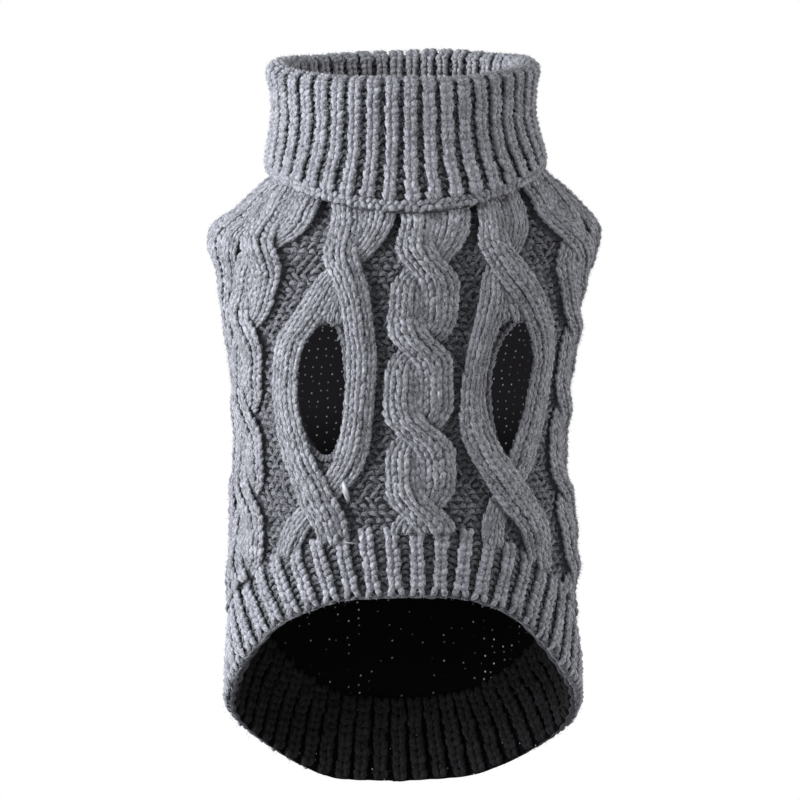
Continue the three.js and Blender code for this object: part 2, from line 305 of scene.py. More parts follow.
RIGHT_HOLE_OUTER = [
    (-4, 27, 10.6, 3.1), (-12.8, 25.7, 10.8, 3.1), (-21.1, 24.4, 11.6, 3.5), (-28.3, 25.6, 13, 4.5),
    (-34.7, 29.2, 15, 5.1), (-42.1, 34.4, 16.4, 5.2), (-51.1, 40.5, 15.6, 4.4), (-61.5, 46.4, 15, 3.6),
    (-70.6, 50.3, 14.4, 3.2), (-79.3, 52.2, 14.2, 3.1), (-89.8, 51.6, 14.8, 3.1), (-99.3, 50.4, 14.8, 3.1),
    (-108.2, 47.9, 15, 3.1), (-116.3, 45.4, 15.4, 2.9), (-124.6, 42.6, 15, 2.1), (-130.4, 39.5, 14, 1.3),
    (-138.3, 34.2, 12.2, 1.1), (-146, 31.2, 10.4, 1.9), (-156, 30.4, 10, 2.0)]
RIGHT_HOLE_INNER = [
    (-4, 38.5, 11, 3.1), (-13.4, 36.7, 10.8, 3.1), (-19.1, 35, 10.8, 3.0), (-26.8, 33.2, 10.8, 2.4),
    (-32.8, 30.8, 11, 1.3), (-37.5, 28.2, 10.8, 1.2), (-43, 26.8, 11, 2.1), (-49.9, 26.6, 12, 2.9),
    (-57.4, 25.6, 12.4, 3.1), (-67.8, 23.3, 10.8, 3.1), (-76.1, 22, 10.4, 3.1), (-86.6, 20.9, 10.4, 3.1),
    (-97.2, 20.9, 11.5, 3.1), (-106.6, 22.6, 14, 3.3), (-114.4, 26, 15.4, 3.9), (-123.3, 31.6, 16.8, 4.7),
    (-131.5, 37.2, 18, 5.1), (-139.2, 42.6, 18.4, 5.0), (-147.7, 48.8, 17, 4.1), (-157.4, 51.8, 14, 3.0),
    (-168, 53, 13, 2.6)]
LEFT_SEAM_KNIT = [(-4, -88, 15, 2.8), (-16, -85.5, 18, 3.1), (-31, -83.5, 21, 3.3), (-50, -86.5, 18, 3.2),
                  (-65, -91, 14, 2.9), (-80, -93.5, 13, 2.8), (-100, -96, 11, 2.6)]
RIGHT_SEAM_KNIT = [(-4, 85, 12, 2.6), (-16, 83, 15, 2.9), (-31, 84, 17, 3.0), (-50, 88, 14, 2.9),
                   (-65, 90.5, 12, 2.7), (-80, 91, 11, 2.6), (-100, 90.5, 12, 2.6), (-120, 90, 12, 2.6),
                   (-150, 91.5, 11, 2.5), (-180, 93, 9, 2.4), (-212, 95, 8, 2.2)]
LEFT_FILL_KNIT = [(-12, -78, 5, 1.6), (-18, -76.5, 8, 2.3), (-25, -75, 10, 2.7), (-31, -74, 11, 2.9),
                  (-39, -75.5, 9, 2.7), (-46, -77.5, 7, 2.2), (-52, -79, 5, 1.6)]
RIGHT_FILL_KNIT = [(-8, 77, 6, 1.8), (-16, 75, 9, 2.6), (-24, 74, 11, 2.9), (-32, 74.5, 11, 2.9),
                   (-40, 76.5, 9, 2.6), (-47, 79, 7, 2.2), (-54, 81, 5, 1.6)]
LEFT_GUSSET = [(-44, -31, 4, 1.6), (-50, -32.5, 7, 1.9), (-56, -34.5, 10, 1.9), (-61, -36, 11, 1.5)]
RIGHT_GUSSET = [(-41, 30.5, 4, 1.6), (-47, 31.5, 7, 1.9), (-54, 34, 11, 1.9), (-61, 36.5, 13, 1.5)]

belly_strands = [
    *plain_cable(CENTRE_AXIS, (-36, -70, -106.4, -139.8), -158),
    charted_strand(LEFT_HOLE_OUTER, -160), charted_strand(LEFT_HOLE_INNER, -166),
    charted_strand(RIGHT_HOLE_OUTER, -156), charted_strand(RIGHT_HOLE_INNER, -168),
    *plain_cable(LEFT_SIDE_AXIS, (-31, -66, -103, -138, -172), -196),
    *plain_cable(RIGHT_SIDE_AXIS, (-29, -67, -101, -137.5, -172), -210, relief=0.7),
    charted_strand(LEFT_SEAM_KNIT, -98), charted_strand(RIGHT_SEAM_KNIT, -208),
    charted_strand(LEFT_FILL_KNIT, -52), charted_strand(RIGHT_FILL_KNIT, -54),
    charted_strand(LEFT_GUSSET, -59.5), charted_strand(RIGHT_GUSSET, -61),
]
# The back has no photograph, so it gets five plain cables like the one on the belly.
BACK_ANGLES = (106.5, 143, 180, 218, 257)
BACK_CROSSINGS = (-34, -68.5, -103, -137.5, -172, -206.5, -241)
# The two outer ones lie beside the seams, where the worn cloth is stretched and their relief is lower.
SEAM_RELIEF = 0.45
back_strands = []
for back_angle in BACK_ANGLES:
    relief = SEAM_RELIEF if back_angle in (BACK_ANGLES[0], BACK_ANGLES[-1]) else 1.0
    back_axis = [(-260, back_angle), (-60, back_angle), (-4, back_angle)]
    back_strands += plain_cable(back_axis, BACK_CROSSINGS, -256, relief=relief)
# The back's left cable stands right beside the seam, so its swelling is felt on the belly's side too.
beside_belly = [
    strand._replace(arcs=strand.arcs - 2 * half_round(strand.levels)) for strand in back_strands[-2:]]
print(len(belly_strands), "strands on the belly and", len(back_strands), "on the back")

# %% [markdown]
# ## Laying the cloth out
# Three small helpers place everything on the body. `place` puts a point on the cloth at an angle and a
# level, any distance out from it. `lift` tells how high the strands raise the cloth there, since a rope of
# stitches is a rounded ridge. `in_hole` tells how far a point lies from a leg hole's outline, which is at 1.
# Worn cloth is never even, so a few long, shallow dents run through everything that `place` makes.

# %% Helpers on the body
BASE = -1.6
RIGHT_BOTTOM, LEFT_BOTTOM = -207.0, -191.5

Hole = namedtuple("Hole", "angle level half_width half_height lean bow taper")
LEFT_HOLE = Hole(-38.7, -88.5, 11.3, 28.5, 1.7, -2.8, 0.0)
RIGHT_HOLE = Hole(39.8, -90.5, 12.6, 28.5, 0.9, 0.5, 0.2)
HOLES = (LEFT_HOLE, RIGHT_HOLE)

# How far the worn cloth stands off its solid: level, shift to the right, left side out, right side out.
STANCE = [
    (5, 3.5, 0, 0), (-10, 4.6, -1.2, -1.6), (-20, 4.2, -2.6, -3.2), (-30, 1.2, 0.8, 0.8), (-42, 0, -1.2, 0.8),
    (-57, 0, 0, -1.0), (-82, 0, 0, -1.8), (-125, 0, 0, -2.0), (-142, 0, 0, -1.2), (-156, 0, 0, 0.8),
    (-170, 0, 0, -0.5), (-181, 0, 0, -2.2), (-200, 0, 0, -1.0), (-216, 0, 0, 0), (-284, 0, 0, 0)]
# depth, waves round the body, length along it, phase
DENTS = [(0.55, 3, 23, 0.6), (0.45, 5, -31, 2.1), (0.4, 2, 13, 4.0), (0.3, 9, 17, 0.0)]
DENT_DEPTH = 0.8


def dents(angle, level):
    """Long, shallow unevenness of the worn cloth, in millimetres."""
    return sum(
        depth * np.sin(waves * angle + level / length + phase) for depth, waves, length, phase in DENTS)


def place(angle, level, out):
    angle = np.asarray(angle, float)
    level = level + 0 * angle
    _, shift, left, right = np.moveaxis(smooth_table(STANCE, level), -1, 0)
    side = np.sin(angle)
    sideways = np.where(side > 0, right, left) * side**4
    push = np.asarray(out + DENT_DEPTH * dents(angle, level) + sideways)
    moved = torso_point(angle, level) + torso_normal(angle, level) * push[..., None]
    return moved + shift[..., None] * np.array((1.0, 0, 0))


def seam_angle(side, level):
    bottom = RIGHT_BOTTOM if side > 0 else LEFT_BOTTOM
    share = np.clip(level / bottom, 0, 1)
    return side * np.radians(90 + 7.5 * share**2)


def lift(strands, arc, level):
    """How high the strands raise the cloth, and how far inside the nearest strand a point is."""
    height = np.zeros(np.broadcast(arc, level).shape)
    cover = np.full(height.shape, 9.0)
    for strand in strands:
        middle = np.interp(-level, -strand.levels, strand.arcs)
        half_width = np.interp(-level, -strand.levels, strand.widths) / 2
        high = np.interp(-level, -strand.levels, strand.heights)
        share = np.abs(arc - middle) / half_width
        ridge = high * np.sqrt(np.maximum(1 - (0.95 * share) ** 2, 0))
        reached = (level <= strand.levels[0] + 1) & (level >= strand.levels[-1] - 1)
        height = np.where(reached, np.maximum(height, ridge), height)
        cover = np.where(reached, np.minimum(cover, share), cover)
    return height, cover


def hole_middle(hole, up, level):
    """The arc of a leg hole's leaning, bowed middle line."""
    return (
        arc_of(np.radians(hole.angle) + 0 * up, level) + hole.lean * up
        + hole.bow * (1 - np.minimum(up**2, 1))
    )


def hole_share(hole, arc, level):
    """Where a point lies in a leg hole: across and up, both reaching 1 at the outline."""
    up = (level - hole.level) / hole.half_height
    half_width = hole.half_width * (1 + hole.taper * np.clip(up, -1, 1))
    return (arc - hole_middle(hole, up, level)) / half_width, up


def trough(angle, level):
    """How deep the purl ground lies under the cables; it is drawn in where the neck gathers it."""
    gathered = np.clip((level + 31) / 14, 0, 1) * np.clip(3.6 * np.cos(angle) - 2.0, 0, 1)
    return 0.9 + 2.0 * gathered


def in_hole(arc, level):
    nearest = np.full(np.broadcast(arc, level).shape, 9.0)
    for hole in HOLES:
        across, up = hole_share(hole, arc, level)
        nearest = np.minimum(nearest, np.hypot(across, up))
    return nearest


def hole_point(hole, across, up):
    """The arc and level of a point that is given by its place in the hole."""
    level = hole.level + hole.half_height * up
    return hole_middle(hole, up, level) + across * hole.half_width * (1 + hole.taper * up), level


print("Helpers ready; the belly's band top is at", hem_levels(np.zeros(1))[1].round(1), "mm")

# %% [markdown]
# ## Shader sums
# Every finish of the sweater is a small sum of noises and waves, and such sums are long when they are
# written node by node. The first class below wraps a socket, so that a sum can be written as a sum: each
# operator adds one Math node. The second holds a material with its main shader, and adds any other node.

# %% Shader sums
class Value:
    """A shader value that can be added, multiplied and compared like a number."""

    def __init__(self, tree, socket):
        self.tree = tree
        self.socket = socket

    def math(self, operation, *others):
        node = self.tree.nodes.new("ShaderNodeMath")
        node.operation = operation
        for i, other in enumerate((self, *others)):
            if isinstance(other, Value):
                self.tree.links.new(other.socket, node.inputs[i])
            else:
                node.inputs[i].default_value = other
        return Value(self.tree, node.outputs[0])

    def __add__(self, other):
        return self.math("ADD", other)

    def __mul__(self, other):
        return self.math("MULTIPLY", other)

    def __sub__(self, other):
        return self.math("SUBTRACT", other)

    def __rsub__(self, other):
        return (self * -1) + other

    __radd__ = __add__
    __rmul__ = __mul__

    def sine(self):
        return self.math("SINE")

    def floor(self):
        return self.math("FLOOR")

    def above(self, limit, soft):
        """0 below the limit, 1 above it, with a soft step between them."""
        return ((self - limit) * (1 / soft) + 0.5).math("MAXIMUM", 0.0).math("MINIMUM", 1.0)


class Surface:
    """A material with one main shader, and the few nodes that its pattern needs."""

    def __init__(self, name, roughness):
        self.material = bpy.data.materials.new(name)
        self.material.use_nodes = True
        self.tree = self.material.node_tree
        self.shader = self.tree.nodes["Principled BSDF"]
        self.shader.inputs["Roughness"].default_value = roughness
        self.shader.inputs["Specular IOR Level"].default_value = 0.18

    def node(self, kind, settings=None, values=None, links=None):
        made = self.tree.nodes.new(kind)
        for key, value in (settings or {}).items():
            setattr(made, key, value)
        for key, value in (values or {}).items():
            made.inputs[key].default_value = value
        for key, source in (links or {}).items():
            self.tree.links.new(source.socket if isinstance(source, Value) else source, made.inputs[key])
        return made

    def uv(self, name):
        mapped = self.node("ShaderNodeUVMap", {"uv_map": name}).outputs["UV"]
        apart = self.node("ShaderNodeSeparateXYZ", links={"Vector": mapped})
        return Value(self.tree, apart.outputs["X"]), Value(self.tree, apart.outputs["Y"])

    def attribute(self, name):
        return Value(self.tree, self.node("ShaderNodeAttribute", {"attribute_name": name}).outputs["Fac"])

    def noise(self, x, y, z=None, detail=2.0):
        """Noise whose grain is one unit of x and y; z picks another part of the pattern."""
        links = {"X": x, "Y": y} if z is None else {"X": x, "Y": y, "Z": z}
        joined = self.node("ShaderNodeCombineXYZ", links=links)
        made = self.node("ShaderNodeTexNoise", values={"Scale": 1.0, "Detail": detail},
                         links={"Vector": joined.outputs[0]})
        return Value(self.tree, made.outputs["Fac"])

    def random(self, x, y):
        """A random value that stays the same all over each whole number of x and y."""
        joined = self.node("ShaderNodeCombineXYZ", links={"X": x, "Y": y})
        made = self.node("ShaderNodeTexWhiteNoise", links={"Vector": joined.outputs[0]})
        return Value(self.tree, made.outputs["Value"])

    def blend(self, low, high, share):
        mix = self.node("ShaderNodeMix", {"data_type": "RGBA"}, links={"Factor": share})
        for socket, colour in zip((mix.inputs[6], mix.inputs[7]), (low, high)):
            if isinstance(colour, tuple):
                socket.default_value = (*colour, 1)
            else:
                self.tree.links.new(colour, socket)
        return mix.outputs[2]

    def colour(self, socket):
        self.tree.links.new(socket, self.shader.inputs["Base Color"])

    def bump(self, height, strength, distance):
        made = self.node("ShaderNodeBump", values={"Strength": strength, "Distance": distance},
                         links={"Height": height})
        self.tree.links.new(made.outputs[0], self.shader.inputs["Normal"])


print("Shader sums are written with", Value.__name__, "and", Surface.__name__)

# %% [markdown]
# ## The wools and the inside
# The yarn is a grey marl: light and dark fibres spun together, soft, matte and a little hairy. Its streaks
# run along the yarn, so the pattern reads each stitch's own map, which goes round the yarn and along it.
# The inside is painted near black as painted shade. It shows small painted dots of light, which glow, where
# light comes through between some of the stitches, and the chest's inside is painted lighter. The dots are
# placed one to a cell of a loose grid, with a random size that leaves most of them out.

# %% Wools
YARN_TWIST = 0.55
PLIES = 3
TONE_SHARE = 0.28


def marl(name, dark, light, sheen=0.25):
    """Spun grey yarn with light and dark fibres, each stitch with a tone of its own."""
    surface = Surface(name, 0.92)
    around, along = surface.uv("yarn")
    tone = surface.attribute("tone")
    twist = around + along * YARN_TWIST
    streaks = surface.noise(twist * 9.0, along * 2.8, tone * 40.0)
    specks = surface.noise(twist * 13.0, along * 5.5, tone * 17.0)
    mixed = streaks * 0.6 + specks * 0.4
    hairs = surface.noise(around * 24.0 + along * 3.0, along * 9.0, tone * 29.0, 3.0)
    share = (mixed * 0.65 + hairs * 0.35).above(0.5, 0.13) * (1 - TONE_SHARE) + tone * TONE_SHARE
    surface.colour(surface.blend(dark, light, share))
    ply = (twist * (math.tau * PLIES)).sine() * 0.3
    surface.bump(ply + mixed * 1.6 + hairs * 1.4, 0.7, 0.0005)
    surface.shader.inputs["Sheen Weight"].default_value = sheen
    surface.shader.inputs["Sheen Roughness"].default_value = 0.5
    surface.shader.inputs["Sheen Tint"].default_value = (0.9, 0.92, 1.0, 1)
    return surface.material


def backing(name, colour):
    """The cloth in the gaps between the stitches, given a dark colour as painted shade."""
    surface = Surface(name, 0.98)
    across, down = surface.uv("cloth")
    uneven = surface.noise(across * 90.0, down * 90.0, detail=3.0)
    dark = tuple(0.55 * c for c in colour)
    surface.colour(surface.blend(dark, colour, uneven.above(0.5, 0.3)))
    surface.bump(uneven, 0.5, 0.0005)
    return surface.material


# Cloth coordinates are in tenths of a metre from the belly's middle and the neck.
DOT_COLUMN, DOT_ROW = 0.047, 0.036
SIDE_SEAM = 1.56
CHEST_END = 1.25


def inner_side(name):
    """Painted shade near black, with glowing painted dots of light between some of the stitches."""
    surface = Surface(name, 1.0)
    across, down = surface.uv("cloth")
    column = across * (1 / DOT_COLUMN)
    row = down * (1 / DOT_ROW) + (across * 9.0).sine() * 0.6 + across * 3.0
    cell, line = column.floor(), row.floor()
    here = surface.random(cell, line)
    there = surface.random(cell + 31.5, line)
    x = column - cell - 0.5 + (here - 0.5) * 0.5
    y = row - line - 0.5 + (there - 0.5) * 0.5
    far = (x * x + y * y * 0.6).math("SQRT")
    patch = surface.noise(across * 2.4, down * 2.4, detail=1.0)
    side = (1 - (across - SIDE_SEAM).math("ABSOLUTE") * 6.0).math("MAXIMUM", 0.0)
    # Painted light at the chest: its inside is lighter, glows faintly and shows more dots.
    chest = (down + CHEST_END).above(0.0, 0.3)
    strength = (here * there * 1.2 + (patch - 0.6) * 2.2 + side * 0.55 + chest * 0.7).above(0.85, 1.2)
    # The dots are painted light: a pale colour that also glows by emission.
    dots = (1 - far * 9.5).math("MAXIMUM", 0.0) * strength
    # Painted shade: the inside's own colour is near black.
    plain = surface.blend((0.005, 0.0042, 0.005), (0.03, 0.028, 0.031), chest)
    surface.colour(surface.blend(plain, (0.7, 0.7, 0.74), dots))
    painted_chest_glow = surface.blend((0, 0, 0), (0.0085, 0.0078, 0.0088), chest)
    painted_glow = surface.blend(painted_chest_glow, (0.30, 0.30, 0.32), dots)
    surface.tree.links.new(painted_glow, surface.shader.inputs["Emission Color"])
    surface.shader.inputs["Emission Strength"].default_value = 1.0
    surface.shader.inputs["Specular IOR Level"].default_value = 0.02
    return surface.material


cable_wool = marl("cable_wool", (0.054, 0.0555, 0.064), (0.335, 0.342, 0.376))
rib_wool = marl("rib_wool", (0.078, 0.08, 0.093), (0.325, 0.332, 0.366))
# The purl ground's wool is darker than the cables' as painted shade of troughs, grooves and edges.
shaded_ground_wool = marl("shaded_ground_wool", (0.034, 0.035, 0.041), (0.168, 0.172, 0.192))
# Near-black wool, as painted shade of the inside.
shaded_inside_wool = marl("shaded_inside_wool", (0.004, 0.0037, 0.004), (0.024, 0.022, 0.0245), sheen=0.0)
neck_wool = marl("neck_wool", (0.13, 0.13, 0.145), (0.42, 0.42, 0.455))
# The fibres' wool is lighter than the yarn, as painted highlight.
fuzz_highlight_wool = marl("fuzz_highlight_wool", (0.22, 0.225, 0.25), (0.54, 0.55, 0.59))
slub_wool = marl("slub_wool", (0.2, 0.205, 0.225), (0.46, 0.47, 0.5))
# The gaps' backings are dark as painted shade between the stitches.
shaded_gap_wool = backing("shaded_gap_wool", (0.07, 0.071, 0.082))
shaded_neck_gap = backing("shaded_neck_gap", (0.075, 0.075, 0.085))
# Painted shade on the inside, with glowing painted dots of light.
painted_shade_inside = inner_side("painted_shade_inside")
print("Materials:", len(bpy.data.materials))

# %% [markdown]
# ## One stitch
# Two small forms make almost the whole surface. A knit stitch is a V of two soft commas of yarn, each diving
# under the V above it. A purl stitch is a short bean across the wale. Both start as a small round primitive
# and are shaped in the square of one stitch: x goes across the wale, y up the row, z out of the cloth.
# A loose fibre is only a thin blade of one or three triangles, since there are tens of thousands of them.

# %% Stitch forms
Form = namedtuple("Form", "points corners starts uvs islands")
Frames = namedtuple("Frames", "origin side up normal")


def ball(segments, rings):
    bpy.ops.object.select_all(action="DESELECT")
    bpy.ops.mesh.primitive_uv_sphere_add(segments=segments, ring_count=rings, radius=1)
    made = bpy.context.object
    mesh = made.data
    points = np.empty(len(mesh.vertices) * 3)
    corners = np.empty(len(mesh.loops), int)
    starts = np.empty(len(mesh.polygons), int)
    uvs = np.empty(len(mesh.loops) * 2)
    mesh.vertices.foreach_get("co", points)
    mesh.loops.foreach_get("vertex_index", corners)
    mesh.polygons.foreach_get("loop_start", starts)
    mesh.uv_layers[0].data.foreach_get("uv", uvs)
    bpy.data.objects.remove(made)
    islands = np.zeros(len(corners), int)
    return Form(points.reshape(-1, 3), corners, starts, uvs.reshape(-1, 2), islands)


def mirrored(form):
    """The same form on the other side of x = 0, with its faces still pointing out."""
    ends = [*form.starts[1:], len(form.corners)]
    order = np.concatenate([np.arange(a, b)[::-1] for a, b in zip(form.starts, ends)])
    return form._replace(
        points=form.points * (-1, 1, 1), corners=form.corners[order], uvs=form.uvs[order],
    )


def both(first, second):
    return Form(
        np.concatenate([first.points, second.points]),
        np.concatenate([first.corners, second.corners + len(first.points)]),
        np.concatenate([first.starts, second.starts + len(first.corners)]),
        np.concatenate([first.uvs, second.uvs]),
        np.concatenate([first.islands, second.islands + first.islands.max() + 1]),
    )


def yarn_arc(start, end, thick, sunk, raised, sag=0.0, sides=6):
    """A soft comma of yarn from one point of the stitch to another, highest in its middle."""
    form = ball(sides, 4)
    x, y, z = form.points.T
    t = (z + 1) / 2
    fuller = np.maximum(1 - z**2, 1e-6) ** -0.2 * (np.abs(z) < 0.999)
    run = np.array(end, float) - start
    across = np.array((run[1], -run[0])) / max(abs(run[1]), abs(run[0]))
    centre = np.array(start) + run * t[:, None]
    points = np.empty_like(form.points)
    points[:, 0] = centre[:, 0] + x * fuller * thick[0] * across[0]
    points[:, 1] = centre[:, 1] + x * fuller * thick[0] * across[1] * thick[2] + sag * np.sin(math.pi * t)
    points[:, 2] = (raised + sunk) * np.sin(math.pi * t) - sunk - y * fuller * thick[1]
    return form._replace(points=points)


def knit_form(bottom, top, thick, sunk=0.9, raised=0.35, low=-0.4, high=1.35, sides=6):
    """A V from its low middle to its spread top, given as places across and up the stitch."""
    right = yarn_arc((bottom, low), (top, high), thick, sunk, raised, 0.0, sides)
    return both(right, mirrored(right))


cable_knit = knit_form(0.11, 0.37, (0.275, 0.8, 0.5), 0.7, 0.25, -0.4, 1.3)
plain_knit = knit_form(0.11, 0.37, (0.275, 0.8, 0.5), 0.7, 0.25, -0.4, 1.3, 5)
rib_knit = knit_form(0.08, 0.28, (0.245, 1.1, 0.45), 0.85, 0.3, -0.4, 1.25)
lining_knit = knit_form(0.14, 0.30, (0.24, 1.1, 0.45), 0.75, 0.3, -0.5, 1.35, 5)
hem_knit = knit_form(0.12, 0.29, (0.245, 1.15, 0.45), 0.8, 0.3, -0.4, 1.25)
flared_knit = knit_form(0.36, 0.22, (0.22, 1.05, 0.3))
chain_knit = knit_form(0.10, 0.34, (0.25, 1.0, 0.6))
bead_knit = knit_form(0.06, 0.36, (0.25, 1.2, 0.6), 0.9, 0.6, -0.1, 1.0)
purl_bump = yarn_arc((-0.6, -0.25), (0.6, -0.15), (0.38, 0.95, 1.0), 1.0, 0.3, 0.45, sides=5)
hair = Form(
    np.array([(-0.5, 0, 0), (0.5, 0, 0), (0, 1, 0)], float), np.array([0, 1, 2]), np.array([0]),
    np.array([(0, 0), (1, 0), (0.5, 1)], float), np.zeros(3, int),
)
rim_loop = yarn_arc((-0.62, -0.15), (0.62, 0.15), (0.55, 1.2, 1.0), 0.5, 0.3, 0.2)
fibre = Form(
    np.array([(-0.5, 0, 0), (0.5, 0, 0), (0.36, 0.55, 0.24), (-0.36, 0.55, 0.24), (0, 1, 0.12)], float),
    np.array([0, 1, 2, 3, 3, 2, 4]), np.array([0, 4]),
    np.array([(0, 0), (1, 0), (1, 0.5), (0, 0.5), (0, 0.5), (1, 0.5), (0.5, 1)], float),
    np.zeros(7, int),
)
print("A knit stitch has", len(cable_knit.starts), "faces and a purl", len(purl_bump.starts))

# %% [markdown]
# ## Laying stitches
# A frame is a place on the cloth with three directions: across the wale, up the row and out of the cloth.
# `lay` puts one copy of a form at each of thousands of frames and joins them into one mesh, because a mesh
# for each stitch would be far too slow. Knitting is never even, so each copy is nudged, turned and made
# fuller or thinner a little. Each copy also gets a yarn map of its own and a random tone for its wool.

# %% Laying stitches
NUDGE, CLIMB, RISE = 0.03, 0.05, 0.13
FULLER, THICKER = 0.07, 0.08
WOBBLE_LIMIT = 1.9


def grid_frames(points):
    """Stitches on a grid of points, its columns from left to right and its rows from the bottom up."""
    up = np.gradient(points, axis=1)
    side = np.gradient(points, axis=0)
    side = side - up * (np.sum(side * up, -1, keepdims=True) / np.sum(up * up, -1, keepdims=True))
    normal = unit(np.cross(side, up))
    return Frames(points, side, up, normal)


def column_frames(points, normals, width):
    """Stitches along separate columns, each as wide as it is told."""
    up = np.gradient(points, axis=-2)
    side = unit(np.cross(up, normals)) * width
    return Frames(points, side, up, unit(np.cross(side, up)))


def joined_frames(parts):
    return Frames(*(np.concatenate([part[i].reshape(-1, 3) for part in parts]) for i in range(4)))


def kept(frames, mask):
    return Frames(*(part[mask] for part in frames))


def lay(name, form, frames, material, unevenness=1.0, tilt=0.08):
    """Joins one copy of a form at every frame into a single mesh of yarn."""
    frames = joined_frames([frames])
    count, size, corners = len(frames.origin), len(form.points), len(form.corners)
    wobble = np.clip(chance.normal(0, 1, (count, 6)), -WOBBLE_LIMIT, WOBBLE_LIMIT) * unevenness
    origin = frames.origin + frames.side * wobble[:, 0:1] * NUDGE + frames.up * wobble[:, 1:2] * CLIMB
    origin = origin + frames.normal * wobble[:, 2:3] * RISE
    side = frames.side * (1 + FULLER * wobble[:, 3:4]) + frames.up * wobble[:, 4:5] * tilt
    normal = frames.normal * (1 + THICKER * wobble[:, 5:6])
    points = (
        origin[:, None] + side[:, None] * form.points[None, :, 0:1]
        + frames.up[:, None] * form.points[None, :, 1:2] + normal[:, None] * form.points[None, :, 2:3]
    )
    numbers = np.arange(count)[:, None]
    mesh = bpy.data.meshes.new(name)
    mesh.vertices.add(count * size)
    mesh.vertices.foreach_set("co", (points * MM).ravel())
    mesh.loops.add(count * corners)
    mesh.loops.foreach_set("vertex_index", (form.corners + numbers * size).ravel().astype(np.int32))
    mesh.polygons.add(count * len(form.starts))
    mesh.polygons.foreach_set("loop_start", (form.starts + numbers * corners).ravel().astype(np.int32))
    mesh.polygons.foreach_set("use_smooth", np.ones(count * len(form.starts), bool))
    mesh.update(calc_edges=True)
    shift = chance.uniform(0, 9, (count, 1, 2))
    yarn = form.uvs[None] + shift + form.islands[None, :, None] * 0.37
    mesh.uv_layers.new(name="yarn").data.foreach_set("uv", yarn.ravel().astype(np.float32))
    islands = form.islands.max() + 1
    cells = math.ceil(math.sqrt(count * islands))
    cell = numbers * islands + form.islands[None]
    corner = np.stack([cell % cells, cell // cells], -1)
    atlas = (corner + 0.06 + 0.88 * np.clip(form.uvs, 0, 1)[None]) / cells
    mesh.uv_layers.new(name="OFBake").data.foreach_set("uv", atlas.ravel().astype(np.float32))
    tones = np.repeat(chance.uniform(0, 1, count), size)
    mesh.attributes.new("tone", "FLOAT", "POINT").data.foreach_set("value", tones.astype(np.float32))
    mesh.materials.append(material)
    piece = bpy.data.objects.new(name, mesh)
    bpy.context.collection.objects.link(piece)
    print(name, count, "stitches,", sum(len(p.vertices) - 2 for p in mesh.polygons), "triangles")
    return piece


print("Each copy moves by up to", WOBBLE_LIMIT * CLIMB, "of a row")

# %% [markdown]
# ## The panels
# Each panel is a sheet about two millimetres thick with the cables already swelling in it. The sheet starts
# as a flat grid whose points are moved onto the body, and a leg hole is cut by taking faces out and drawing
# the edge onto the outline. A Solidify modifier gives the thickness and the inner side, whose points are
# then drawn onto a smooth surface, since the cables are only felt on the outside. The inner side is painted
# near black as painted shade.

# %% Panel sheets
SHEET_DEPTH = 0.75
INNER_DEPTH = 3.0


def sheet_grid(name, columns, rows, shape, materials, thickness=2.0, cut=False):
    """A cloth sheet; shape gives points and cloth coordinates from two shares across and up."""
    bpy.ops.object.select_all(action="DESELECT")
    bpy.ops.mesh.primitive_grid_add(x_subdivisions=columns, y_subdivisions=rows, size=1)
    sheet = bpy.context.object
    sheet.name = name
    mesh = sheet.data
    flat = np.empty(len(mesh.vertices) * 3)
    mesh.vertices.foreach_get("co", flat)
    across, up = flat.reshape(-1, 3)[:, 0] + 0.5, flat.reshape(-1, 3)[:, 1] + 0.5
    corners = np.empty(len(mesh.loops), int)
    mesh.loops.foreach_get("vertex_index", corners)
    points, behind, cloth, inside = shape(across, up)
    mesh.vertices.foreach_set("co", (points * MM).ravel())
    if behind is not None:
        inner = mesh.attributes.new("inner", "FLOAT_VECTOR", "POINT")
        inner.data.foreach_set("vector", (behind * MM).ravel())
    uv = mesh.uv_layers[0]
    uv.name = "cloth"
    uv.data.foreach_set("uv", (cloth[corners] * 0.01).ravel())
    if cut:
        bpy.ops.object.mode_set(mode="EDIT")
        bpy.ops.mesh.select_mode(type="FACE")
        bpy.ops.mesh.select_all(action="DESELECT")
        bpy.ops.object.mode_set(mode="OBJECT")
        mesh.polygons.foreach_set("select", inside[corners].reshape(-1, 4).all(1))
        bpy.ops.object.mode_set(mode="EDIT")
        bpy.ops.mesh.delete(type="FACE")
        bpy.ops.object.mode_set(mode="OBJECT")
    for material in materials:
        mesh.materials.append(material)
    solid = sheet.modifiers.new("thickness", "SOLIDIFY")
    solid.thickness = thickness * MM
    solid.offset = -1
    solid.material_offset = 1
    bpy.ops.object.modifier_apply(modifier=solid.name)
    if behind is not None:
        total = len(mesh.vertices)
        now, then = np.empty(total * 3), np.empty(total * 3)
        mesh.vertices.foreach_get("co", now)
        mesh.attributes["inner"].data.foreach_get("vector", then)
        now[total // 2 * 3:] = then[total // 2 * 3:]
        mesh.vertices.foreach_set("co", now)
        mesh.attributes.remove(mesh.attributes["inner"])
        mesh.update()
    bpy.ops.object.shade_smooth()
    print(name, len(mesh.vertices), "points,", len(mesh.polygons), "faces")
    return sheet


